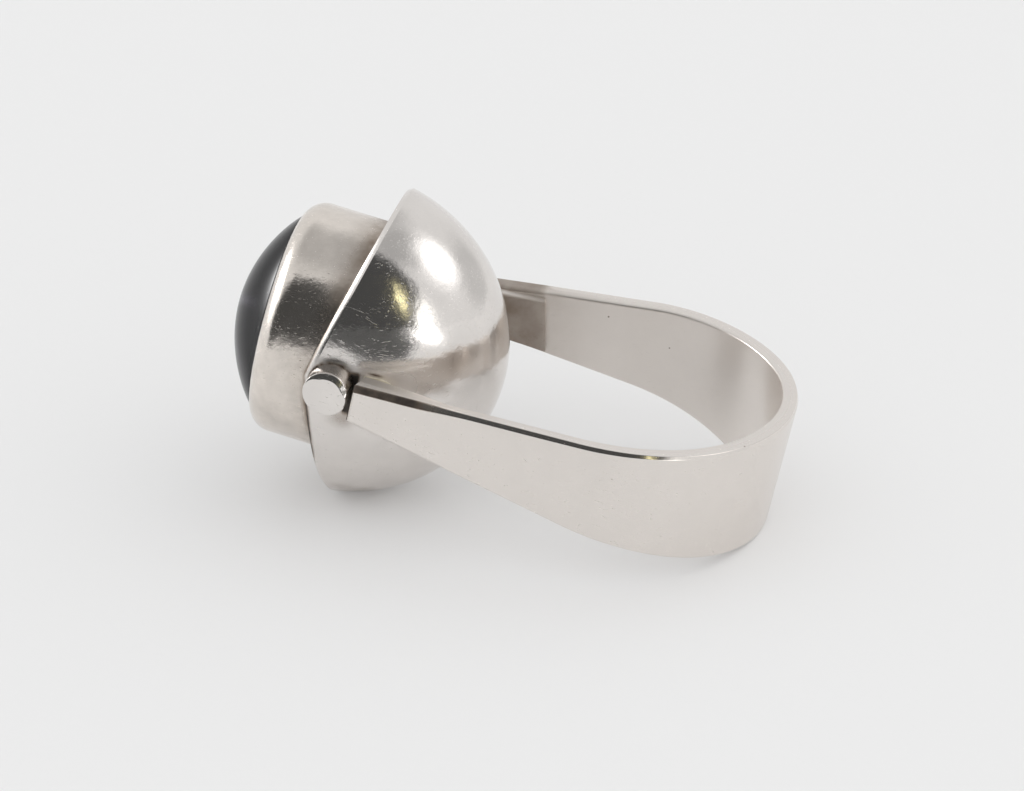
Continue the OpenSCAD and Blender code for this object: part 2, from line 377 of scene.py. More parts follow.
def bezel():
    """One section carried round the oval: a fillet on the plate, a straight wall, a round shoulder and a lip.

    The section is a list of insets and heights. The wall's heights run from the plate, which falls away on
    both sides of its fold, to the shoulder. Tarnish lies along the foot, least at the top of the oval, and
    thinly over the wall, most at the top.
    """
    angle = turns(HEAD_COLUMNS)
    plate = MOUTH_RISE - MOUTH_SWEEP * abs(oval(angle, 0)[0])
    level = 0 * plate
    inset = [level + HIDDEN_INSET, level - SEAM_FILLET]
    rise = [plate - BEZEL_FOOT, plate - BEZEL_FOOT]
    for turn in np.radians(np.linspace(0, 90, 6)):
        inset.append(level - SEAM_FILLET * (1 - math.sin(turn)))
        rise.append(plate + SEAM_FILLET * (1 - math.cos(turn)))
    low, high = plate + SEAM_FILLET, LIP_RISE - SHOULDER_R
    for share in steps(0, 1, 12)[1:-1]:
        inset.append(level)
        rise.append(low + share * (high - low))
    for turn in np.linspace(0, math.acos(1 - BEZEL_WALL / SHOULDER_R), 28):
        inset.append(level + SHOULDER_R * (1 - math.cos(turn)))
        rise.append(level + LIP_RISE - SHOULDER_R * (1 - math.sin(turn)))
    inset += [level + BEZEL_WALL + STONE_GAP / 4, level + BEZEL_WALL - LIP_LEAN]
    rise += [level + LIP_RISE - STONE_GAP, level + LIP_RISE - GIRDLE_H]
    inset, rise = np.array(inset), np.array(rise)
    above = np.maximum(0, rise - plate)
    upper, top = blend(np.cos(angle), *UPPER_SIDE), blend(np.cos(angle), *TOP_SIDE)
    foot = (1 - UPPER_FOOT_LESS * upper) * near(above, FOOT_REACH - UPPER_REACH_LESS * upper)
    wall = (WALL_TARNISH + TOP_TARNISH * top) * near(above, WALL_REACH)
    return surface("bezel", raised(angle, inset, rise), tarnish_and_shade=np.maximum(foot, wall))


def stone():
    """An even dome over the parallel curve just inside the lip, with a slanted edge under it and a flat base.

    The dome's outline shrinks as cos t while its height grows as a power of sin t.
    """
    angle = turns(240)
    t = np.linspace(0, math.pi / 2, 61)[:-1, None]
    along, across = oval(angle, BEZEL_WALL + STONE_GAP)
    height = LIP_RISE + DOME_H * np.sin(t) ** DOME_POWER
    dome = np.stack([-height + 0 * along, across * np.cos(t), along * np.cos(t)], axis=-1)
    base = raised(angle, BEZEL_WALL - LIP_LEAN + 2 * STONE_GAP, LIP_RISE + STONE_GAP - GIRDLE_H)
    middle = (GIRDLE_H - STONE_GAP - LIP_RISE, 0, 0)
    grid = np.concatenate([base[None], dome])
    return surface("sapphire", grid, middle, (-LIP_RISE - DOME_H, 0, 0))


def arm_y(x, inset):
    """Distance of an arm from the ring's middle, at an inset from its outer face."""
    return (BAND_R - inset - (BAND_CENTRE - x) * math.sin(ARM_SPREAD)) / math.cos(ARM_SPREAD)


def half_width(x):
    """Half the band's width, which grows evenly from its ends to the back."""
    return (END_W + (BACK_W - END_W) * (x - BAND_START) / (BAND_REACH - BAND_START)) / 2


def upper_edge(x):
    """Height of the band's upper edge, which stands above the even taper along the arms."""
    return half_width(x) + fading(x, *BAND_LIFT)


def lower_edge(x):
    """Height of the band's lower edge, which stops short of the even taper except at the back."""
    return fading(x, *BAND_SAG) - half_width(x)


def arm_path(side, start, end, count):
    """The outer line of one arm and its normal toward the ring's middle; side is -1 or 1."""
    x = np.linspace(start, end, count)
    line = np.stack([x, side * arm_y(x, 0)], axis=-1)
    inward = np.array([math.sin(ARM_SPREAD), -side * math.cos(ARM_SPREAD)])
    return line, np.broadcast_to(inward, line.shape)


def back_path(count):
    """The round back from arm to arm: a circle's points, and their normals to its centre."""
    turn = np.linspace(-math.pi / 2 - ARM_SPREAD, math.pi / 2 + ARM_SPREAD, count)
    outward = np.stack([np.cos(turn), np.sin(turn)], axis=-1)
    return BAND_R * outward + [BAND_CENTRE, 0], -outward


def strip_section(corners):
    """A strip's outline as rows of base inset, side (-1 to 1), and offsets inward and upward.

    A corner is those four and its rounding. The straights between the corners have points that crowd to them.
    """
    spread = np.array([[inset + inward, 2 * side + up] for inset, side, inward, up, _ in corners])
    curves = []
    for number, corner in enumerate(corners):
        after = spread[(number + 1) % len(corners)]
        curve = fillet(spread[number - 1], spread[number], after, corner[4]) - spread[number]
        base = np.tile(corner[:4], (len(curve), 1)).astype(float)
        base[:, 2:] += curve
        curves.append(base)
    rows = []
    for curve, following in zip(curves, curves[1:] + curves[:1]):
        share = steps(0, 1, 15 if curve[-1, 1] != following[0, 1] else 6)[1:-1, None]
        rows += [curve, curve[-1] + share * (following[0] - curve[-1])]
    return np.vstack(rows).T


def carried(line, inward, section, top, bottom, size=1.0, thick=1.0):
    """The section at each point of a path: in by its inset, and between the two edges by its side.

    size scales the offsets of its corners, and thick its insets.
    """
    base, side, offset_in, offset_up = section
    depth = base * thick + offset_in * size
    x = line[:, :1] + inward[:, :1] * depth
    y = line[:, 1:] + inward[:, 1:] * depth
    z = (top + bottom) / 2 + side * (top - bottom) / 2 + offset_up * size
    return np.stack([x, y, z], axis=-1)


def band():
    """Arm, round back and arm in one path, with its two ends rounded over and closed.

    The upper outer edge is a wide chamfer, worn down toward the back. The lower one is narrow.
    """
    section = strip_section([
        (0, 1, 0, -CHAMFER_DOWN, EDGE_ROUND),
        (0, 1, CHAMFER_ACROSS, 0, CHAMFER_TOP_ROUND),
        (BAND_T, 1, 0, -INNER_DROP, INNER_ROUND),
        (BAND_T, -1, 0, INNER_DROP, INNER_ROUND),
        (0, -1, LOW_CHAMFER, 0, EDGE_ROUND),
        (0, -1, 0, LOW_CHAMFER, EDGE_ROUND),
    ])
    tangent = BAND_CENTRE - BAND_R * math.sin(ARM_SPREAD)
    near_line, near_in = arm_path(-1, BAND_START, tangent, 60)
    back_line, back_in = back_path(140)
    far_line, far_in = arm_path(1, tangent, BAND_START, 60)
    line = np.vstack([near_line, back_line[1:-1], far_line])
    inward = np.vstack([near_in, back_in[1:-1], far_in])
    x = line[:, :1]
    corner_size = CORNERS_AT_BACK + sum(fading(x, *part) for part in CRISP_CORNERS)
    grid = carried(line, inward, section, upper_edge(x), lower_edge(x), corner_size)
    start, end = rounded_end(grid[0], grid[1]), rounded_end(grid[-1], grid[-2])[::-1]
    grid = np.concatenate([start, grid[1:-1], end])
    wear = band_wear(grid[..., 0], grid[..., 1] > 0, section)
    return surface("band", grid, grid[0].mean(axis=0), grid[-1].mean(axis=0), *wear)


def band_wear(x, far_side, section):
    """Painted shade, painted dark reflections, darker brown and matt metal along the band.

    Painted shade darkens the end faces in the gap, the inside of the far arm is darker brown, and painted
    dark reflections lie on its upper edge and on the near arm's chamfer. The inside and the upper edge are
    matt, and the chamfer is polished.
    """
    inside = section[0] > BAND_T / 2
    upper = section[1] > 0.99
    chamfer = upper * (section[0] < 0.01)
    # Painted shade on the end faces, in the gap
    tarnish_and_shade = near(np.maximum(0, x - BAND_START - END_ROUND / 2), END_ROUND / 2)
    # Darker brown inside the far arm, and painted dark reflections on its upper edge and on the near arm's
    # chamfer
    tarnish_and_shade = np.maximum(tarnish_and_shade, inside * far_side * fading(x, *FAR_INSIDE_DARKENING))
    tarnish_and_shade = np.maximum(tarnish_and_shade, upper * far_side * fading(x, *EDGE_PAINTED_REFLECTION))
    tarnish_and_shade = np.maximum(tarnish_and_shade, chamfer * ~far_side * fading(x, *CHAMFER_PAINTED_REFLECTION))
    dull = inside * (BACK_MATT + fading(x, *INSIDE_MATT))
    dull = np.maximum(dull, upper * ~chamfer * fading(x, *EDGE_MATT)) - CHAMFER_POLISH * chamfer
    return tarnish_and_shade, dull


def rounded_end(last, before):
    """Rows that round a strip's end over: each draws in toward the middle as it nears the end."""
    middle = last.mean(axis=0)
    along = (last - before).mean(axis=0)
    along = along / np.linalg.norm(along)
    bend = np.radians(np.linspace(0, 90, 6))[:, None, None]
    out = last - middle
    size = np.linalg.norm(out, axis=-1, keepdims=True)
    drawn = out * (1 - END_ROUND * (1 - np.sin(bend)) / size)
    return middle + drawn - along * END_ROUND * (1 - np.cos(bend))


def cheek(side):
    """A strip inside one end of the band, lower than its edge, that thins evenly toward its end.

    The far cheek's end is cut at a slant: a point below the upper edge moves along the band by its depth
    below it. Its inner face is darker brown, less toward the end, and its start face in the gap is darkened
    as painted shade.
    """
    section = strip_section([
        (0, 1, 0, 0, CHEEK_EDGE_ROUND),
        (CHEEK_T, 1, 0, -CHEEK_LEAN, CHEEK_ROUND),
        (CHEEK_T, -1, 0, CHEEK_LEAN, CHEEK_ROUND),
        (0, -1, 0, 0, CHEEK_EDGE_ROUND),
    ])
    start, end = BAND_START + END_ROUND, CHEEK_ENDS[side]
    line, inward = arm_path(side, start, end, 64)
    x = line[:, :1]
    share = (x - start) / (end - start)
    thick = 1 - CHEEK_TAPER * share
    line = line + inward * (BAND_T - CHEEK_LAP)
    top = upper_edge(x) - CHEEK_DROP - CHEEK_SINK * share ** 2
    grid = carried(line, inward, section, top, lower_edge(x) + 2 * CHEEK_DROP, thick, thick)
    grid = np.concatenate([grid[:-1], rounded_end(grid[-1], grid[-2])[::-1]])
    grid[..., 0] += CHEEK_CUT[side] * (top[-1] - grid[..., 2]) * blend(grid[..., 0], start, end)
    depth = arm_y(grid[..., 0], BAND_T) - abs(grid[..., 1])
    share = np.append(share[:-1], np.ones(len(grid) - len(share) + 1))[:, None]
    inner_face = near(CHEEK_T * (1 - CHEEK_TAPER * share) - depth, CHEEK_FACE_REACH)
    inner_darkening = CHEEK_INNER_DARKENING[side] * (1 - 0.35 * share) * inner_face
    # Painted shade on the start face in the gap, and the darker inner face
    tarnish_and_shade = np.maximum(near(grid[..., 0] - start, 0.05), inner_darkening)
    name = "cheek_right" if side < 0 else "cheek_left"
    return surface(name, grid, grid[0].mean(axis=0), grid[-1].mean(axis=0), tarnish_and_shade, dull=1.0)


def stud(side):
    """A profile turned about the stud's axis, cut by a flat beside the end of the band.

    The radius at angle a is the smaller of the profile's and flat / cos a. The bevel is wide above and narrow
    below, because its insets and depths are scaled by smooth steps of sin a and cos a. The wall is darker
    brown, most at its foot, where patina gathers in the joint, and the flat is darkened as painted shade in
    the gap.
    """
    a = turns(144)
    wide = blend(np.sin(a), *BEVEL_SINE) * blend(np.cos(a), *BEVEL_COSINE)
    width = STUD_BEVEL_LEAST + (1 - STUD_BEVEL_LEAST) * wide
    shelf = STUD_FACE - STUD_CROWN
    edge, top = (0, STUD_BEVEL_DEPTH), (STUD_BEVEL, 0)
    rounded_edge, rounded_top = fillet((0, 1), edge, top, 0.07), fillet(edge, top, (STUD_R, 0), 0.04)
    share = steps(0, 1, 8)[1:-1, None]
    slope = rounded_edge[-1] + share * (rounded_top[0] - rounded_edge[-1])
    bevel = np.vstack([rounded_edge, slope, rounded_top])
    inset, down = bevel[:, :1] * width, bevel[:, 1:] * width
    wall = steps(0, 1, 14)[:-1, None]
    y = np.vstack([STUD_ROOT + wall * (shelf - down[0] - STUD_ROOT), shelf - down])
    radius = np.vstack([np.full((len(wall), len(a)), STUD_R), STUD_R - inset])
    face = steps(1, 0, 14)[1:-1, None]
    radius = np.vstack([radius, face * radius[-1]])
    y = np.vstack([y, STUD_FACE - STUD_CROWN * face ** 2 + 0 * width])
    radius = np.minimum(radius, STUD_FLAT / np.maximum(np.cos(a), 0.5))
    grid = np.stack([STUD_BACK + radius * np.cos(a), side * y, radius * np.sin(a)], axis=-1)
    # The flat faces the band's end across the gap and is darkened there as painted shade
    flat = (radius * np.cos(a) > STUD_FLAT - 0.02) * (y < shelf - 0.05)
    foot = near(np.maximum(0, y - STUD_FOOT), STUD_FOOT_REACH)
    tarnish_and_shade = np.maximum(np.maximum(foot, flat), STUD_WALL_DARKENING * (y < shelf - 0.15))
    name = "stud_right" if side < 0 else "stud_left"
    poles = (STUD_BACK, side * STUD_ROOT, 0), (STUD_BACK, side * STUD_FACE, 0)
    return surface(name, grid, *poles, tarnish_and_shade, crease=40)


def solder(side):
    """Solder in the wedge between a cheek and the cup: a lumpy bar that sinks and narrows toward its end.

    Its section is a circle pushed toward a square, c / max(|cos|, |sin|)^0.8, as wide as the wedge. Sines
    along it and round it make the lumps.
    """
    x = np.linspace(SOLDER_START, SOLDER_END, 40)[:, None]
    share = (x - x[0]) / (x[-1] - x[0])
    a = turns(72)
    inner = CUP_HALF_W * np.sqrt(1 - (x / CUP_R) ** 2) - SOLDER_IN_CUP
    outer = arm_y(x, BAND_T + CHEEK_T - SOLDER_IN_CHEEK)
    across, up = np.cos(a), np.sin(a)
    square = 1 / np.maximum(abs(across), abs(up)) ** 0.8
    across, up = across * square, up * square
    fade = np.sqrt(np.clip((SOLDER_END + 0.02 - x) / 0.8, 0, 1))
    long_lumps = 0.03 * np.sin(5.3 * x + 2 * side) * np.cos(3 * across + 4 * x)
    short_lumps = 0.015 * np.sin(11 * x + 7 * across)
    height = (half_width(x) - 0.06 - 0.5 * share ** 2) * (0.4 + 0.6 * fade)
    height = height * (1 - 0.08 * (1 - across ** 2)) + long_lumps + short_lumps
    y = (inner + outer) / 2 + (outer - inner) / 2 * across * (0.35 + 0.65 * fade)
    grid = np.stack([x + 0 * y, side * y, height * up], axis=-1)
    name = "solder_right" if side < 0 else "solder_left"
    poles = grid[0].mean(axis=0), grid[-1].mean(axis=0)
    return surface(name, grid, *poles, tarnish_and_shade=SOLDER_TARNISH, dull=1.0, crease=50)


# What wear, matt metal, and patina with painted shade each add to the silver's roughness
WEAR_ROUGHNESS = 0.3
DULL_ROUGHNESS = 0.24
TARNISH_AND_SHADE_ROUGHNESS = 0.3

# Tarnish and painted shade: their colours where they are thin and deep, and the values between which they
# start and grow deep
TARNISH_AND_SHADE_COLOUR = (0.14, 0.08, 0.036, 1)
TARNISH_AND_SHADE_DEEP = (0.020, 0.014, 0.010, 1)
DEEP_FROM = (0.7, 0.95)
TARNISH_AND_SHADE_FROM = (0.08, 1.0)
PIT_SCALE = 0.42
PIT_SIZE = (0.014, 0.032)
PIT_STRENGTH = 0.8

# Scratches run in three directions, given as turns in radians, and are about ten times as long as wide
SCRATCH_TURNS = ((0.3, 0.2, 0.5), (1.1, 0.7, 2.0), (0.1, 1.4, 1.2))
SCRATCH_STRETCH = (0.9, 10.0, 10.0)
SCRATCH_SWIRL = (2.5, 2.5, 2.5)
SCRATCH_APART = 3.1
SCRATCH_PEAKS = (0.63, 0.72)
SCRATCH_PATCHES = (0.38, 0.62)
SCRATCH_SHADE = 0.08
SCRATCH_DEPTH = 0.003
DENT_DEPTH = 0.015
RIPPLE_DEPTH = 0.05

# The sapphire and its star, a painted sheen
SAPPHIRE_COLOUR = (0.009, 0.0085, 0.0095, 1)
STAR_SHEEN_COLOUR = (0.13, 0.12, 0.15, 1)
STAR_TURNS = (0.0, math.pi / 3, 2 * math.pi / 3)
STAR_WIDTH = 0.025
STAR_SPREAD = 0.05
STAR_FADE = (0.05, 0.75)
SAPPHIRE_ROUGHNESS = 0.17
SILK_ROUGHNESS = 0.06
SILK_SCALE = 1.2
MIDDLE_IOR = 1.62
EDGE_IOR = 1.24
EDGE_FROM = (0.28, 0.6)

# The floor in metres, and the two cards over it that only reflections show
FLOOR_HALF = 4.0
FLOOR_ROUGHNESS = 0.8
FLOOR_COLOUR = (0.70, 0.70, 0.70, 1)
FLOOR_GLOW = 0.11
CLOTH_COLOUR = (0.070, 0.072, 0.072, 1)
CLOTH_RISE = 0.1 * MM
CLOTH_LEFT = (-1.9, -1.1)
CLOTH_RIGHT = (0.55, 0.75)
CLOTH_START_LEFT = (-0.24, -0.01, 84 * MM, 38 * MM)
CLOTH_START_RIGHT = (0.32, 0.62, 40 * MM, 72 * MM)
CLOTH_EDGE = (0.8, 1.12)
STREAK_LIGHT = 2.4
STREAK_RISE = 0.3 * MM
STREAK_AZIMUTH = 138
STREAK_WIDTH = 0.14
STREAK_START = (55 * MM, 110 * MM)
WHITE = (1, 1, 1, 1)


class Tree:
    """Adds nodes to a node tree. An input is a value, or an output of another node."""

    def __init__(self, tree):
        self.tree = tree

    def add(self, kind, *inputs, out=0, **settings):
        node = self.tree.nodes.new(kind)
        named = settings.pop("named", {})
        for key, value in settings.items():
            setattr(node, key, value)
        for key, value in list(enumerate(inputs)) + list(named.items()):
            if isinstance(value, bpy.types.NodeSocket):
                self.link(value, node.inputs[key])
            elif value is not None:
                node.inputs[key].default_value = value
        return node.outputs[out] if out is not None else node

    def link(self, value, socket):
        self.tree.links.new(value, socket)

    def math(self, operation, *inputs, clamp=False):
        return self.add("ShaderNodeMath", *inputs, operation=operation, use_clamp=clamp)

    def vector(self, operation, *inputs, out=0):
        return self.add("ShaderNodeVectorMath", *inputs, operation=operation, out=out)

    def dot(self, place, axis):
        return self.vector("DOT_PRODUCT", place, tuple(axis), out=1)

    def bell(self, value):
        """exp(-value^2)"""
        return self.math("EXPONENT", self.math("MULTIPLY", self.math("POWER", value, 2), -1))

    def fit(self, value, low, high, new_low=0.0, new_high=1.0):
        """A smooth step from one new value to the other."""
        return self.add(
            "ShaderNodeMapRange", value, low, high, new_low, new_high, interpolation_type="SMOOTHSTEP"
        )

    def mix(self, share, a, b, blend="MIX"):
        return self.add(
            "ShaderNodeMix", data_type="RGBA", blend_type=blend, out=2, named={0: share, 6: a, 7: b}
        )

    def noise(self, place, scale, detail=2.0, roughness=0.5, out=0):
        return self.add(
            "ShaderNodeTexNoise", out=out,
            named={"Vector": place, "Scale": scale, "Detail": detail, "Roughness": roughness},
        )


def group(name, inputs, outputs):
    """A new shader node group with named float or vector sockets, and its input and output nodes."""
    tree = bpy.data.node_groups.new(name, "ShaderNodeTree")
    for label, kind in inputs:
        tree.interface.new_socket(label, in_out="INPUT", socket_type="NodeSocket" + kind)
    for label, kind in outputs:
        tree.interface.new_socket(label, in_out="OUTPUT", socket_type="NodeSocket" + kind)
    given, made = tree.nodes.new("NodeGroupInput"), tree.nodes.new("NodeGroupOutput")
    return Tree(tree), given.outputs, made.inputs


def wear_group():
    """Handling marks: short curved scratches, soft mottling, shallow dents and low ripples.

    A scratch is the top of a noise that is stretched along its direction, kept where a coarse noise is high.
    A slow swirl of the place bends it.
    """
    tree, given, made = group(
        "wear",
        [("Place", "Vector"), ("Scratches", "Float"), ("Mottle", "Float"), ("Dents", "Float")],
        [("Shade", "Float"), ("Roughness", "Float"), ("Height", "Float")],
    )
    swirl = tree.noise(given["Place"], scale=0.3, detail=1.0, out=1)
    swirl = tree.vector("MULTIPLY", tree.vector("SUBTRACT", swirl, (0.5, 0.5, 0.5)), SCRATCH_SWIRL)
    swirl = tree.vector("ADD", given["Place"], swirl)
    marks = 0.0
    for number, turn in enumerate(SCRATCH_TURNS):
        apart = (number * SCRATCH_APART, 0, 0)
        place = tree.add("ShaderNodeMapping", swirl, apart, turn, SCRATCH_STRETCH)
        line = tree.noise(place, scale=1.1, detail=3.0, roughness=0.6)
        where = tree.fit(tree.noise(given["Place"], scale=0.45 + 0.1 * number), *SCRATCH_PATCHES)
        line = tree.fit(line, *SCRATCH_PEAKS)
        marks = tree.math("ADD", marks, tree.math("MULTIPLY", line, where))
    marks = tree.math("MULTIPLY", marks, given["Scratches"])
    cloud = tree.noise(given["Place"], scale=0.55, detail=4.0, roughness=0.6)
    cloud = tree.math("MULTIPLY", tree.math("SUBTRACT", cloud, 0.5), given["Mottle"])
    shade = tree.math("SUBTRACT", tree.math("ADD", 1.0, cloud), tree.math("MULTIPLY", marks, SCRATCH_SHADE))
    tree.link(shade, made["Shade"])
    tree.link(tree.math("ADD", marks, tree.math("ABSOLUTE", cloud)), made["Roughness"])
    ripple = tree.noise(given["Place"], scale=0.22, detail=1.0)
    ripple = tree.math("MULTIPLY", ripple, RIPPLE_DEPTH)
    dents = tree.noise(given["Place"], scale=1.3, detail=3.0, roughness=0.6)
    dents = tree.math("MULTIPLY", dents, given["Dents"])
    height = tree.math("ADD", ripple, tree.math("MULTIPLY", dents, DENT_DEPTH))
    height = tree.math("SUBTRACT", height, tree.math("MULTIPLY", marks, SCRATCH_DEPTH))
    tree.link(height, made["Height"])
    return tree.tree


def tarnish_and_shade_group():
    """Tarnish and painted shade that gather where the tarnish_and_shade attribute is high, broken up by
    noise, and patina in a few pits.
    """
    tree, given, made = group(
        "tarnish_and_painted_shade",
        [("Place", "Vector"), ("Seam", "Float"), ("Broken", "Float"), ("Amount", "Float")],
        [("Mask", "Float")],
    )
    cloud = tree.noise(given["Place"], scale=0.8, detail=4.0, roughness=0.55)
    cloud = tree.math("SUBTRACT", cloud, 0.5)
    uneven = tree.math("ADD", 1.0, tree.math("MULTIPLY", cloud, given["Broken"]))
    spread = tree.math("MULTIPLY", given["Seam"], uneven)
    pits = tree.add("ShaderNodeTexVoronoi", named={"Vector": given["Place"], "Scale": PIT_SCALE})
    pits = tree.fit(pits, *PIT_SIZE, PIT_STRENGTH, 0.0)
    mask = tree.math("ADD", tree.fit(spread, *TARNISH_AND_SHADE_FROM), pits)
    mask = tree.math("MULTIPLY", mask, given["Amount"], clamp=True)
    tree.link(mask, made["Mask"])
    return tree.tree


WEAR = wear_group()
TARNISH_AND_SHADE_GROUP = tarnish_and_shade_group()


def new_material(name):
    """A material with its shader and its tree."""
    material = bpy.data.materials.new(name)
    material.use_nodes = True
    return material, material.node_tree.nodes["Principled BSDF"], Tree(material.node_tree)


def silver(name, colour, roughness, scratches, mottle, dents, tarnish_and_painted_shade, broken):
    """Silver of one finish: the wear group, and the group for patina and painted shade, over a polished metal
    of that colour.
    """
    material, shader, tree = new_material(name)
    place = tree.add("ShaderNodeTexCoord", out=3)
    place = tree.vector("SCALE", place)
    place.node.inputs["Scale"].default_value = 1 / MM
    wear = tree.add("ShaderNodeGroup", out=None, node_tree=WEAR)
    for label, value in (("Scratches", scratches), ("Mottle", mottle), ("Dents", dents)):
        wear.inputs[label].default_value = value
    tree.link(place, wear.inputs["Place"])
    dark = tree.add("ShaderNodeGroup", out=None, node_tree=TARNISH_AND_SHADE_GROUP)
    dark.inputs["Amount"].default_value = tarnish_and_painted_shade
    dark.inputs["Broken"].default_value = broken
    tree.link(place, dark.inputs["Place"])
    tree.link(tree.add("ShaderNodeAttribute", attribute_name="tarnish_and_shade", out=2), dark.inputs["Seam"])
    # The mask is patina, with painted shade and painted dark reflections where the attribute carries them
    mask = dark.outputs["Mask"]
    tone = tree.add("ShaderNodeCombineColor", *[wear.outputs["Shade"]] * 3)
    metal = tree.mix(1.0, (*colour, 1), tone, "MULTIPLY")
    brown = tree.mix(tree.fit(mask, *DEEP_FROM), TARNISH_AND_SHADE_COLOUR, TARNISH_AND_SHADE_DEEP)
    tree.link(tree.mix(mask, metal, brown), shader.inputs["Base Color"])
    dull = tree.add("ShaderNodeAttribute", attribute_name="dull", out=2)
    rough = tree.math("ADD", roughness, tree.math("MULTIPLY", wear.outputs["Roughness"], WEAR_ROUGHNESS))
    rough = tree.math("ADD", rough, tree.math("MULTIPLY", dull, DULL_ROUGHNESS))
    rough = tree.math("ADD", rough, tree.math("MULTIPLY", mask, TARNISH_AND_SHADE_ROUGHNESS), clamp=True)
    tree.link(rough, shader.inputs["Roughness"])
    height = {"Strength": 1.0, "Distance": MM, "Height": wear.outputs["Height"]}
    tree.link(tree.add("ShaderNodeBump", named=height), shader.inputs["Normal"])
    shader.inputs["Metallic"].default_value = 1.0
    return material


def sapphire():
    """Near-black sapphire with a star of painted sheen: three soft lines through the dome's top that fade
    toward the edge.

    With u and v across the stone, a line at angle t is exp(-((u sin t - v cos t) / width)^2). The stone
    mirrors less toward its outline.
    """
    material, shader, tree = new_material("star_sapphire")
    place = tree.add("ShaderNodeTexCoord", out=3)
    centre = lay_down([(-LIP_RISE, 0, 0)])[0]
    local = tree.vector("SUBTRACT", place, tuple(centre))
    u = tree.math("DIVIDE", tree.dot(local, ring_to_row() @ [0, 0, 1]), MM * BEZEL_HALF_L)
    v = tree.math("DIVIDE", tree.dot(local, (0, 1, 0)), MM * BEZEL_HALF_L)
    radius = tree.math("SQRT", tree.math("ADD", tree.math("POWER", u, 2), tree.math("POWER", v, 2)))
    width = tree.math("ADD", STAR_WIDTH, tree.math("MULTIPLY", radius, STAR_SPREAD))
    star = 0.0
    for turn in STAR_TURNS:
        across_u = tree.math("MULTIPLY", u, math.sin(turn))
        across_v = tree.math("MULTIPLY", v, math.cos(turn))
        off = tree.math("SUBTRACT", across_u, across_v)
        star = tree.math("ADD", star, tree.bell(tree.math("DIVIDE", off, width)))
    star = tree.math("MULTIPLY", star, tree.fit(radius, *STAR_FADE, 1.0, 0.0), clamp=True)
    silk = tree.noise(place, scale=SILK_SCALE / MM, detail=4.0, roughness=0.7)
    star = tree.math("MULTIPLY", star, tree.fit(silk, 0.25, 0.75, 0.75, 1.0))
    # The star is painted sheen in the base colour, fixed over the dome's top
    tree.link(tree.mix(star, SAPPHIRE_COLOUR, STAR_SHEEN_COLOUR), shader.inputs["Base Color"])
    rough = tree.math("ADD", SAPPHIRE_ROUGHNESS, tree.math("MULTIPLY", silk, SILK_ROUGHNESS))
    tree.link(rough, shader.inputs["Roughness"])
    facing = tree.add("ShaderNodeLayerWeight", 0.5, out=1)
    tree.link(tree.fit(facing, *EDGE_FROM, MIDDLE_IOR, EDGE_IOR), shader.inputs["IOR"])
    return material


def sheet(name, far, rise, colour, glow, glow_colour):
    """A wide flat sheet from its edge before the camera to y = far, with its shader and tree."""
    close = -FLOOR_HALF
    corners = [(-FLOOR_HALF, close), (FLOOR_HALF, close), (FLOOR_HALF, far), (-FLOOR_HALF, far)]
    mesh = bpy.data.meshes.new(name)
    mesh.from_pydata([(x, y, rise) for x, y in corners], [], [(0, 1, 2, 3)])
    obj = bpy.data.objects.new(name, mesh)
    bpy.context.collection.objects.link(obj)
    material, shader, tree = new_material(name)
    shader.inputs["Base Color"].default_value = colour
    shader.inputs["Roughness"].default_value = FLOOR_ROUGHNESS
    shader.inputs["Emission Color"].default_value = glow_colour
    shader.inputs["Emission Strength"].default_value = glow
    mesh.materials.append(material)
    return obj, shader, tree


def floor():
    """The wide pale floor under the ring. A little light of its own keeps the shadows soft."""
    obj, _, _ = sheet("floor", FLOOR_HALF, 0, FLOOR_COLOUR, FLOOR_GLOW, WHITE)


def floor_card(name, rise, colour, light):
    """A card just over the floor toward the camera that only reflections show."""
    obj, shader, tree = sheet(name, 0, rise, colour, light, colour)
    obj.visible_camera = obj.visible_diffuse = obj.visible_transmission = obj.visible_shadow = False
    return shader, tree


def dark_cloth():
    """A dark cloth that starts past a radius, between two rays whose ratios x / -y are given.

    The radius is the larger of two smooth steps over the ratio: it is least where the cloth comes nearest.
    """
    shader, tree = floor_card("dark_cloth", CLOTH_RISE, CLOTH_COLOUR, 0.0)
    place = tree.add("ShaderNodeTexCoord", out=3)
    parts = tree.add("ShaderNodeSeparateXYZ", place, out=None).outputs
    toward_camera = tree.math("MAXIMUM", tree.math("MULTIPLY", parts[1], -1), MM)
    ratio = tree.math("DIVIDE", parts[0], toward_camera)
    right, left = tree.fit(ratio, *CLOTH_RIGHT, 1.0, 0.0), tree.fit(ratio, *CLOTH_LEFT)
    left_start, right_start = tree.fit(ratio, *CLOTH_START_LEFT), tree.fit(ratio, *CLOTH_START_RIGHT)
    start = tree.math("MAXIMUM", left_start, right_start)
    far = tree.fit(tree.math("DIVIDE", tree.vector("LENGTH", place, out=1), start), *CLOTH_EDGE)
    mask = tree.math("MULTIPLY", far, tree.math("MULTIPLY", right, left))
    tree.link(mask, shader.inputs["Alpha"])


def lit_patch():
    """The floor in front of the low strip light: a streak away from the ring, exp(-a^2) across it."""
    shader, tree = floor_card("lit_patch", STREAK_RISE, WHITE, STREAK_LIGHT)
    place = tree.add("ShaderNodeTexCoord", out=3)
    ahead = tree.dot(place, direction(STREAK_AZIMUTH, 0))
    aside = tree.dot(place, direction(STREAK_AZIMUTH - 90, 0))
    width = tree.math("MULTIPLY", tree.math("MAXIMUM", ahead, MM), STREAK_WIDTH)
    mask = tree.bell(tree.math("DIVIDE", aside, width))
    mask = tree.math("MULTIPLY", mask, tree.fit(ahead, *STREAK_START))
    tree.link(mask, shader.inputs["Alpha"])


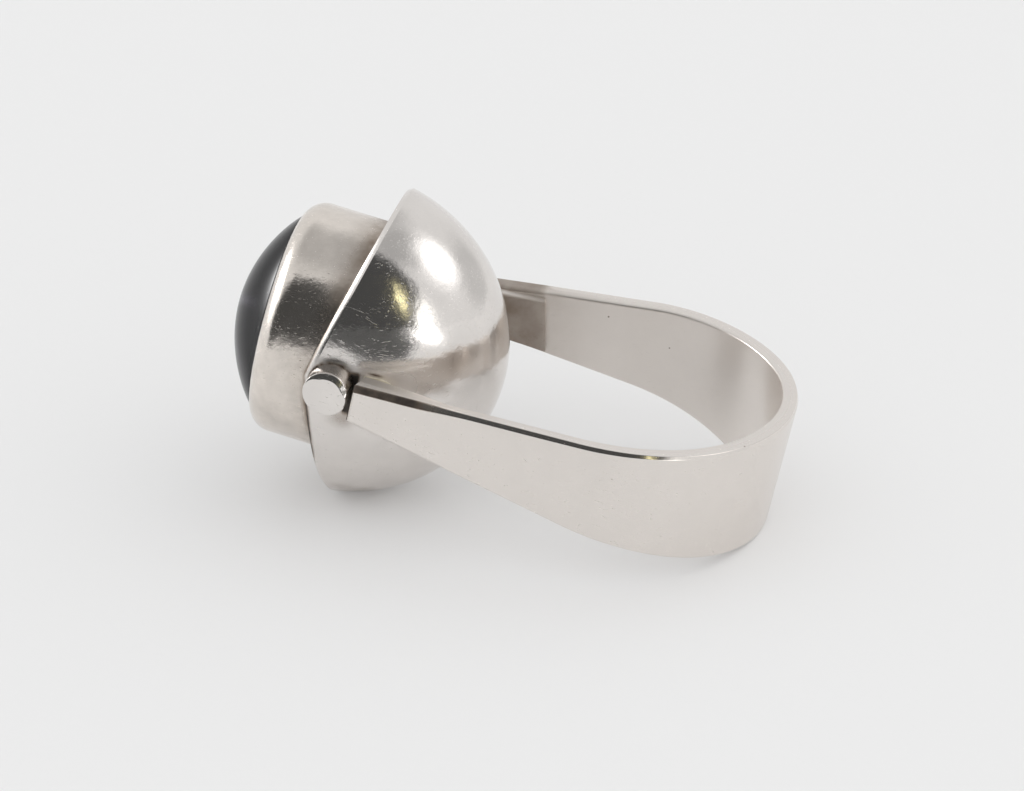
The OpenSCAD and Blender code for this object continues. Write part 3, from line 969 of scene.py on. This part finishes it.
def camera():
    """The photograph's camera: turned round the cup's centre, rolled, and moved aside in its own plane."""
    az, el, roll = (math.radians(v) for v in (VIEW_AZIMUTH, VIEW_ELEVATION, VIEW_ROLL))
    back = np.array([math.sin(az) * math.cos(el), -math.cos(az) * math.cos(el), math.sin(el)])
    right = np.array([math.cos(az), math.sin(az), 0])
    down = np.cross(right, back)
    turned_right = math.cos(roll) * right - math.sin(roll) * down
    turned_down = math.sin(roll) * right + math.cos(roll) * down
    aside = VIEW_ASIDE[0] * turned_right + VIEW_ASIDE[1] * turned_down
    where = np.array(CUP_CENTRE) - aside + VIEW_DISTANCE * back
    data = bpy.data.cameras.new("camera")
    data.sensor_width = SENSOR_W
    data.lens = FOCAL_PX / PHOTO_W * SENSOR_W
    data.clip_start, data.clip_end = 0.01, 20
    obj = bpy.data.objects.new("camera", data)
    bpy.context.collection.objects.link(obj)
    turn = Matrix([turned_right, -turned_down, back]).transposed().to_4x4()
    obj.matrix_world = Matrix.Translation(where * MM) @ turn
    bpy.context.scene.camera = obj


def direction(azimuth, elevation):
    """The direction at an azimuth, from +Y toward +X, and an elevation, in degrees."""
    az, el = math.radians(azimuth), math.radians(elevation)
    return np.array([math.sin(az) * math.cos(el), math.cos(az) * math.cos(el), math.sin(el)])


# A card isn't seen past this cosine from its centre
LEAST_AHEAD = 0.01


def card(tree, look, azimuth, elevation, half_w, half_h, power, soft):
    """A mask over directions: near 1 inside a card seen at that azimuth and elevation, 0 outside.

    The look direction is projected onto the plane across the card's centre, and each offset there is
    measured in half widths and half heights. r is their norm of that power: 2 for an oval, more for a
    squarer card. The mask is a smooth step of that softness round r = 1, or exp(-r^2) where it is None.
    """
    centre = direction(azimuth, elevation)
    side = direction(azimuth + 90, 0)
    up = np.cross(side, centre)
    up = up if up[2] > 0 else -up
    ahead = tree.dot(look, centre)
    terms = []
    for axis, half in ((side, half_w), (up, half_h)):
        offset = tree.math("ABSOLUTE", tree.dot(look, axis))
        offset = tree.math("DIVIDE", offset, tree.math("MAXIMUM", ahead, LEAST_AHEAD))
        terms.append(tree.math("POWER", tree.math("DIVIDE", offset, math.tan(math.radians(half))), power))
    far = tree.math("POWER", tree.math("ADD", *terms), 1 / power)
    mask = tree.bell(far) if soft is None else tree.fit(far, 1 - soft, 1 + soft, 1.0, 0.0)
    return tree.math("MULTIPLY", mask, tree.math("GREATER_THAN", ahead, LEAST_AHEAD))


# Cards round the ring: azimuth, elevation, half width, half height (degrees), power, softness and light
CARDS = [
    ("grey ceiling panel, right of the camera", 123, 50, 24, 14, 2, 0.5, (0.47, 0.47, 0.47)),
    ("duller wall on the right", 62, 14, 26, 15, 2, 0.5, (0.64, 0.64, 0.64)),
    ("dark room, behind the camera on the left", 197, 4, 41, 37, 2, 0.2, (0.072, 0.073, 0.073)),
    ("dark room, behind the camera on the right", 173, 10, 37, 39, 2.1, 0.16, (0.072, 0.073, 0.073)),
    ("softbox on the right", 96.5, 35, 14, 12, 2, None, (3.0, 3.0, 3.0)),
    ("low strip light, right of the camera", 135, 1, 5.5, 11, 2, None, (3.2, 3.2, 3.1)),
    ("softbox on the left", 267, 19, 17, 13, 2, None, (4.0, 4.0, 4.0)),
    ("bright middle of the left softbox", 267, 22, 11, 10, 2, None, (12.0, 12.0, 12.0)),
    ("small warm lamp", 148, 16, 2.1, 6.5, 2, None, (2.6, 2.4, 1.4)),
]
ROOM = (0.82, 0.82, 0.82, 1)
CEILING = (0.54, 0.54, 0.54, 1)
CEILING_ELEVATIONS = (50, 80)
DOME = (0.985, 0.985, 0.985)
DOME_LEAN = 0.25
DOME_LEAN_AZIMUTH, DOME_LEAN_ELEVATION = 115, 20


def studio():
    """A pale room that darkens toward the ceiling, with the cards painted over it by direction.

    The ring mirrors this room. A dome, brighter on the right, lights the floor, so that shadows stay weak.
    """
    world = bpy.data.worlds.new("studio")
    bpy.context.scene.world = world
    world.use_nodes = True
    world.cycles.sampling_method = "NONE"
    tree = Tree(world.node_tree)
    look = tree.vector("NORMALIZE", tree.add("ShaderNodeTexCoord", out=0))
    height = tree.add("ShaderNodeSeparateXYZ", look, out=2)
    low, high = (direction(0, elevation)[2] for elevation in CEILING_ELEVATIONS)
    light = tree.mix(tree.fit(height, low, high), ROOM, CEILING)
    for _, *shape, colour in CARDS:
        light = tree.mix(card(tree, look, *shape), light, (*colour, 1))
    path = tree.add("ShaderNodeLightPath", out=None).outputs
    direct = tree.math("LESS_THAN", path["Diffuse Depth"], 0.5)
    mirrored = tree.math("MULTIPLY", path["Is Glossy Ray"], direct)
    lean = tree.dot(look, direction(DOME_LEAN_AZIMUTH, DOME_LEAN_ELEVATION))
    lean = tree.math("MULTIPLY", lean, DOME_LEAN)
    dome = tree.vector("SCALE", DOME)
    tree.link(tree.math("ADD", 1.0, lean), dome.node.inputs["Scale"])
    background = world.node_tree.nodes["Background"]
    tree.link(tree.mix(mirrored, dome, light), background.inputs["Color"])
    bpy.context.scene.view_settings.view_transform = "Standard"


polished = silver(
    "polished_silver", (0.79, 0.755, 0.725), roughness=0.12,
    scratches=0.9, mottle=0.16, dents=0.9, tarnish_and_painted_shade=0.95, broken=1.1,
)
bezel_silver = silver(
    "bezel_silver", (0.77, 0.715, 0.66), roughness=0.16,
    scratches=0.8, mottle=0.50, dents=1.3, tarnish_and_painted_shade=0.95, broken=1.1,
)
satin = silver(
    "satin_silver", (0.80, 0.755, 0.715), roughness=0.22,
    scratches=0.4, mottle=0.07, dents=0.45, tarnish_and_painted_shade=1.0, broken=0.4,
)
solder_silver = silver(
    "solder_silver", (0.86, 0.81, 0.68), roughness=0.2,
    scratches=0.3, mottle=0.3, dents=1.6, tarnish_and_painted_shade=0.9, broken=1.2,
)

dress(cup(), "silver", polished)
dress(bezel(), "silver", bezel_silver)
dress(band(), "silver", satin)
for side in (-1, 1):
    dress(cheek(side), "silver", satin)
    dress(solder(side), "silver", solder_silver)
    dress(stud(side), "silver", polished)
dress(stone(), "stone", sapphire())
floor()
dark_cloth()
lit_patch()
camera()
studio()
